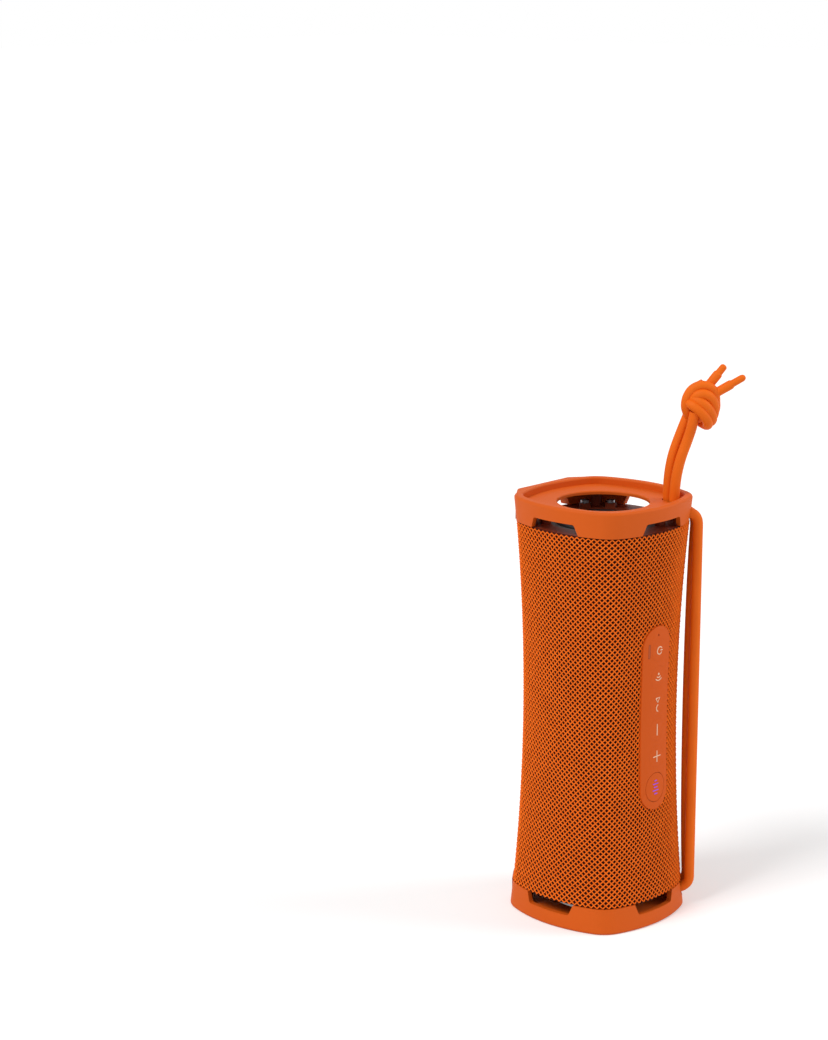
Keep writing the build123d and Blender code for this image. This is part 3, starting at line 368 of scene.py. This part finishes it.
# ---- Woven sleeve --------------------------------------------------------------------------
def thread_family(lean):
    """Centre lines of all the threads that lean one way, waving over and under the other family."""
    rows = int(round((SLEEVE_HIGH - SLEEVE_LOW) / ROW_HEIGHT * 2))
    step = np.arange(rows + 1)
    z = SLEEVE_LOW + THREAD_RADIUS + (SLEEVE_HIGH - SLEEVE_LOW - 2 * THREAD_RADIUS) * step / rows
    points, edges = [], []
    for column in range(COLUMNS):
        around = ((column + lean * step / 2) / COLUMNS) % 1.0
        depth = THREAD_DEPTH + lean * THREAD_WAVE * np.where((step + column * (1 - lean)) % 2, 1, -1)
        line = skin_points(around, z, depth)
        keep = ~inside_openings(line, -THREAD_TUCK)
        start = len(points)
        points.extend(line)
        edges.extend((start + i, start + i + 1) for i in range(rows) if keep[i] and keep[i + 1])
    return np.array(points), edges


def drop_loose(made):
    """Remove points that no edge uses."""
    mesh = bmesh.new()
    mesh.from_mesh(made.data)
    bmesh.ops.delete(mesh, geom=[v for v in mesh.verts if not v.link_edges], context="VERTS")
    mesh.to_mesh(made.data)
    mesh.free()
    return made


def make_sleeve():
    for name, lean in (("threads_rising", 1), ("threads_falling", -1)):
        points, edges = thread_family(lean)
        used = sorted({index for edge in edges for index in edge})
        renumber = {old: new for new, old in enumerate(used)}
        threads = swept(name, points[used], [(renumber[a], renumber[b]) for a, b in edges],
                        THREAD_RADIUS, THREAD_SIDES, "thread")
        finish_piece(threads, HOUSING, "thread")
        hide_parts("fabric_sleeve")
    # Dark sheet just under the threads; its colour is painted shade seen through the weave's holes.
    rings, columns = SHADE_SHEET_RINGS, SHADE_SHEET_COLUMNS
    z = np.linspace(SLEEVE_LOW, SLEEVE_HIGH, rings)
    around = np.arange(columns) / columns
    grid = skin_points(around[None, :], z[:, None], SHADE_SHEET_DEPTH).reshape(-1, 3)
    cut = inside_openings(grid, -THREAD_TUCK)
    faces = []
    for ring in range(rings - 1):
        for column in range(columns):
            following = (column + 1) % columns
            corners = [ring * columns + column, ring * columns + following,
                       (ring + 1) * columns + following, (ring + 1) * columns + column]
            if not cut[corners].any():
                faces.append(corners)
    shade_sheet = drop_loose(new_object("sleeve_painted_shade", grid, faces))
    wall = shade_sheet.modifiers.new("wall", "SOLIDIFY")
    wall.thickness = SHADE_SHEET_WALL
    wall.offset = -1
    shade_smooth(apply_modifiers(shade_sheet))
    finish_piece(shade_sheet, HOUSING, "thread_backing")


# ---- Strap ---------------------------------------------------------------------------------
def strap_point(radius, across, z):
    """Place on the strap's corner of the body, from millimetres out, across and up."""
    return Vector(((radius - across) / sqrt(2), (radius + across) / sqrt(2), z)) * MM


def cord_curve(name, route, diameter):
    """One round cord as a smooth curve along its route."""
    curve = bpy.data.curves.new(name, "CURVE")
    curve.dimensions = "3D"
    spline = curve.splines.new("NURBS")
    spline.points.add(len(route) - 1)
    for point, place in zip(spline.points, route):
        point.co = (*strap_point(*place), 1)
    spline.order_u = 3
    spline.use_endpoint_u = True
    spline.resolution_u = 12
    curve.bevel_depth = diameter / 2
    curve.bevel_resolution = 6
    curve.use_fill_caps = True
    made = bpy.data.objects.new(name, curve)
    bpy.context.collection.objects.link(made)
    return made


def make_knot():
    """The knot's bands as one mesh of smooth tubes around a closed core."""
    curve = bpy.data.curves.new("strap_knot_bands", "CURVE")
    curve.dimensions = "3D"
    curve.bevel_depth = BAND_DIAMETER / 2
    curve.bevel_resolution = 5
    curve.use_fill_caps = True
    for band in KNOT_BANDS.values():
        spline = curve.splines.new("NURBS")
        spline.points.add(len(band) - 1)
        for point, place in zip(spline.points, band):
            point.co = (*strap_point(*place), 1)
        spline.order_u = 3
        spline.use_endpoint_u = True
        spline.resolution_u = 10
    source = bpy.data.objects.new("strap_knot_source", curve)
    bpy.context.collection.objects.link(source)
    bpy.context.view_layer.update()
    tubes = bpy.data.meshes.new_from_object(source.evaluated_get(bpy.context.evaluated_depsgraph_get()))
    bpy.data.objects.remove(source)
    mesh = bmesh.new()
    mesh.from_mesh(tubes)
    core = bmesh.ops.create_icosphere(mesh, subdivisions=3, radius=1.0)["verts"]
    for vertex in core:
        vertex.co = strap_point(*KNOT_CORE) + Vector(c * size for c, size in zip(vertex.co, KNOT_CORE_SIZE))
    made = bpy.data.objects.new("strap_knot_bands", bpy.data.meshes.new("strap_knot_bands"))
    mesh.to_mesh(made.data)
    mesh.free()
    bpy.context.collection.objects.link(made)
    shade_smooth(made)
    finish_piece(made, HOUSING, "strap_cord")
    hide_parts("strap_knot")
    return made


def lathe(name, start, end, profile, sides=24):
    """A round piece turned about the line from start to end; its profile is in millimetres."""
    along = end - start
    turn = along.to_track_quat("Z", "Y")
    points = [start + along * share + turn @ Vector((radius * MM * np.cos(2 * pi * i / sides),
                                                     radius * MM * np.sin(2 * pi * i / sides), 0))
              for share, radius in profile for i in range(sides)]
    faces = [[ring * sides + i, ring * sides + (i + 1) % sides,
              (ring + 1) * sides + (i + 1) % sides, (ring + 1) * sides + i]
             for ring in range(len(profile) - 1) for i in range(sides)]
    faces += [list(range(sides))[::-1], [(len(profile) - 1) * sides + i for i in range(sides)]]
    return shade_smooth(new_object(name, points, faces), radians(60))


def make_tails():
    tails = []
    for node_name, (start, end) in TAILS.items():
        tail = lathe(node_name + "_end", strap_point(*start), strap_point(*end), TAIL_PROFILE)
        finish_piece(tail, HOUSING, "strap_cord")
        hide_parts(node_name)
        tails.append(tail)
    return tails


def make_strap():
    knot_pieces = [make_knot(), *make_tails()]
    strands = (("strap_front", FRONT_ROUTE, FRONT_LENGTH), ("strap_rear", REAR_ROUTE, REAR_LENGTH))
    for name, route, length in strands:
        cord = cord_curve(name, route, STRAND_DIAMETER)
        cord.data.materials.append(MATERIALS["strap_cord"])
        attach(cord, HOUSING)
        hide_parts(name.replace("strap_", "strap_strand_"))


# ---- Keys and their symbols ------------------------------------------------------------------
def arc(radius, start, end, across=0.0, up=0.0, steps=20):
    """Points along an arc; angles in degrees, anticlockwise from the symbol's right."""
    return [(across + radius * np.cos(radians(start + (end - start) * i / steps)),
             up + radius * np.sin(radians(start + (end - start) * i / steps))) for i in range(steps + 1)]


def symbol_strokes():
    """Each key's symbol as strokes."""
    bars = [(-3.2, 0.9), (-1.6, 1.9), (0.0, 1.3), (1.6, 2.1), (3.2, 1.1)]
    handset = arc(1.9, 220, 320, across=1.9, up=1.0, steps=10)
    return {
        "power_button": [arc(1.8, 120, 420), [(0.0, 0.4), (0.0, 2.2)]],
        "pairing_button": [arc(0.35, 0, 360, across=-1.5, steps=8), arc(1.7, -50, 50, across=-1.5),
                           arc(3.1, -45, 45, across=-1.5)],
        "play_button": [[(-3.1, -1.5), (-3.1, 1.5), (-0.9, 0.0), (-3.1, -1.5)],
                        [(handset[0][0] - 0.1, handset[0][1] + 0.5), *handset,
                         (handset[-1][0] + 0.1, handset[-1][1] + 0.5)]],
        "volume_down_button": [[(-2.8, 0.0), (2.8, 0.0)]],
        "volume_up_button": [[(-2.8, 0.0), (2.8, 0.0)], [(0.0, -2.8), (0.0, 2.8)]],
        "bass_button": [[(across, -half), (across, half)] for across, half in bars],
    }


def strip_face(y, z):
    """Point on the controls' outer face at that y and height."""
    radius = SIDE_RADIUS - waist_inset(z) + STRIP_PROUD
    return SIDE_CENTER + sqrt(radius**2 - y**2), y, z


def make_symbols():
    for key_name, strokes in symbol_strokes().items():
        low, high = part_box(key_name)
        key_y, key_z = (low[1] + high[1]) / 2, (low[2] + high[2]) / 2
        points, edges = [], []
        for stroke in strokes:
            edges.extend((len(points) + i, len(points) + i + 1) for i in range(len(stroke) - 1))
            for across, up in stroke:
                x, y, z = strip_face(key_y + up * MM, key_z - across * MM)
                points.append((x + STROKE_LIFT, y, z))
        # Violet for the bass symbol; the other symbols are pale cream, a painted highlight.
        surface = "symbol_violet" if key_name == "bass_button" else "symbol_pale"
        symbol = swept(key_name.replace("button", "symbol"), points, edges, STROKE_RADIUS, 8, surface)
        finish_piece(symbol, key_name, surface)


def make_key_skins():
    """Round keys under one thin skin: each face is widened until its gap is only a fine line."""
    for key_name in symbol_strokes():
        if key_name == "bass_button":
            continue
        low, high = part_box(key_name)
        center = Vector((0, (low[1] + high[1]) / 2, (low[2] + high[2]) / 2))
        radius = (high[2] - low[2]) / 2
        mesh = bmesh.new()
        mesh.from_mesh(frame["nodes"][key_name].data)
        bmesh.ops.remove_doubles(mesh, verts=mesh.verts, dist=SAME_POINT)
        for vertex in mesh.verts:
            out = vertex.co - center
            out.x = 0
            if out.length > 1.5 * KEY_STEM_RADIUS:
                vertex.co += out * (KEY_GAP - CLOSED_GAP) / radius
        skin = bpy.data.objects.new(key_name + "_face", bpy.data.meshes.new(key_name + "_face"))
        mesh.to_mesh(skin.data)
        mesh.free()
        bpy.context.collection.objects.link(skin)
        shade_smooth(skin, radians(30))
        finish_piece(skin, key_name, "control_rubber")
        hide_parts(key_name)


# ---- CAD nodes, camera, studio ----------------------------------------------------------------
def dress_cad_nodes():
    slots = {entry["node"]: entry["material_slot"] for entry in frame["record"]["subparts"]}
    for name, part in frame["nodes"].items():
        surface = slots[name]
        if surface in MATERIALS:
            part.data.materials.clear()
            part.data.materials.append(MATERIALS[surface])


def make_camera():
    camera = bpy.data.objects.new("camera", bpy.data.cameras.new("camera"))
    bpy.context.collection.objects.link(camera)
    camera.data.lens = CAMERA_LENS
    camera.data.sensor_width = 36.0
    camera.data.clip_start = 0.01
    camera.location = (CAMERA_REACH * np.sin(CAMERA_AZIMUTH), -CAMERA_REACH * np.cos(CAMERA_AZIMUTH),
                       CAMERA_HEIGHT)
    camera.rotation_euler = (pi / 2 - CAMERA_TILT, 0, CAMERA_TURN)
    bpy.context.scene.camera = camera


def sun(name, toward, strength, spread):
    """A distant soft light; toward is the direction from the object to the light."""
    lamp = bpy.data.lights.new(name, "SUN")
    lamp.energy = strength
    lamp.angle = radians(spread)
    made = bpy.data.objects.new(name, lamp)
    bpy.context.collection.objects.link(made)
    made.rotation_euler = Vector(toward).to_track_quat("Z", "Y").to_euler()


def background_rays(nodes, links):
    """One for camera, glossy and transmission rays, which see the plain background."""
    path = nodes.new("ShaderNodeLightPath")
    highest = path.outputs["Is Camera Ray"]
    for label in ("Is Glossy Ray", "Is Transmission Ray"):
        larger = nodes.new("ShaderNodeMath")
        larger.operation = "MAXIMUM"
        links.new(highest, larger.inputs[0])
        links.new(path.outputs[label], larger.inputs[1])
        highest = larger.outputs[0]
    return highest


def make_floor():
    """White floor: lit diffuse that keeps the shadow, lifted to white where it is only seen."""
    corners = [(x * FLOOR_REACH, y * FLOOR_REACH, 0) for x, y in ((-1, -1), (1, -1), (1, 1), (-1, 1))]
    floor = new_object("floor", corners, [(0, 1, 2, 3)])
    made = bpy.data.materials.new("floor_white")
    made.use_nodes = True
    nodes, links = made.node_tree.nodes, made.node_tree.links
    nodes.remove(nodes["Principled BSDF"])
    matte = nodes.new("ShaderNodeBsdfDiffuse")
    glow = nodes.new("ShaderNodeEmission")
    both = nodes.new("ShaderNodeAddShader")
    mix = nodes.new("ShaderNodeMixShader")
    matte.inputs["Color"].default_value = (FLOOR_WHITE, FLOOR_WHITE, FLOOR_WHITE, 1)
    glow.inputs["Strength"].default_value = FLOOR_LIFT
    links.new(matte.outputs[0], both.inputs[0])
    links.new(glow.outputs[0], both.inputs[1])
    links.new(background_rays(nodes, links), mix.inputs[0])
    links.new(matte.outputs[0], mix.inputs[1])
    links.new(both.outputs[0], mix.inputs[2])
    links.new(mix.outputs[0], nodes["Material Output"].inputs["Surface"])
    floor.data.materials.append(made)


def make_studio():
    bpy.context.scene.view_settings.view_transform = "Standard"
    make_floor()
    world = bpy.data.worlds.new("studio")
    bpy.context.scene.world = world
    world.use_nodes = True
    nodes, links = world.node_tree.nodes, world.node_tree.links
    soft = nodes["Background"]
    seen = nodes.new("ShaderNodeBackground")
    mix = nodes.new("ShaderNodeMixShader")
    soft.inputs["Color"].default_value = (1, 1, 1, 1)
    soft.inputs["Strength"].default_value = SKY_LEVEL
    seen.inputs["Color"].default_value = (1, 1, 1, 1)
    links.new(background_rays(nodes, links), mix.inputs[0])
    links.new(soft.outputs[0], mix.inputs[1])
    links.new(seen.outputs[0], mix.inputs[2])
    links.new(mix.outputs[0], nodes["World Output"].inputs["Surface"])
    for name, (toward, strength, spread) in SUNS.items():
        sun(name, toward, strength, spread)


make_camera()
MATERIALS = make_materials()
dress_cad_nodes()
make_strap()
make_sleeve()
make_key_skins()
make_symbols()
make_studio()
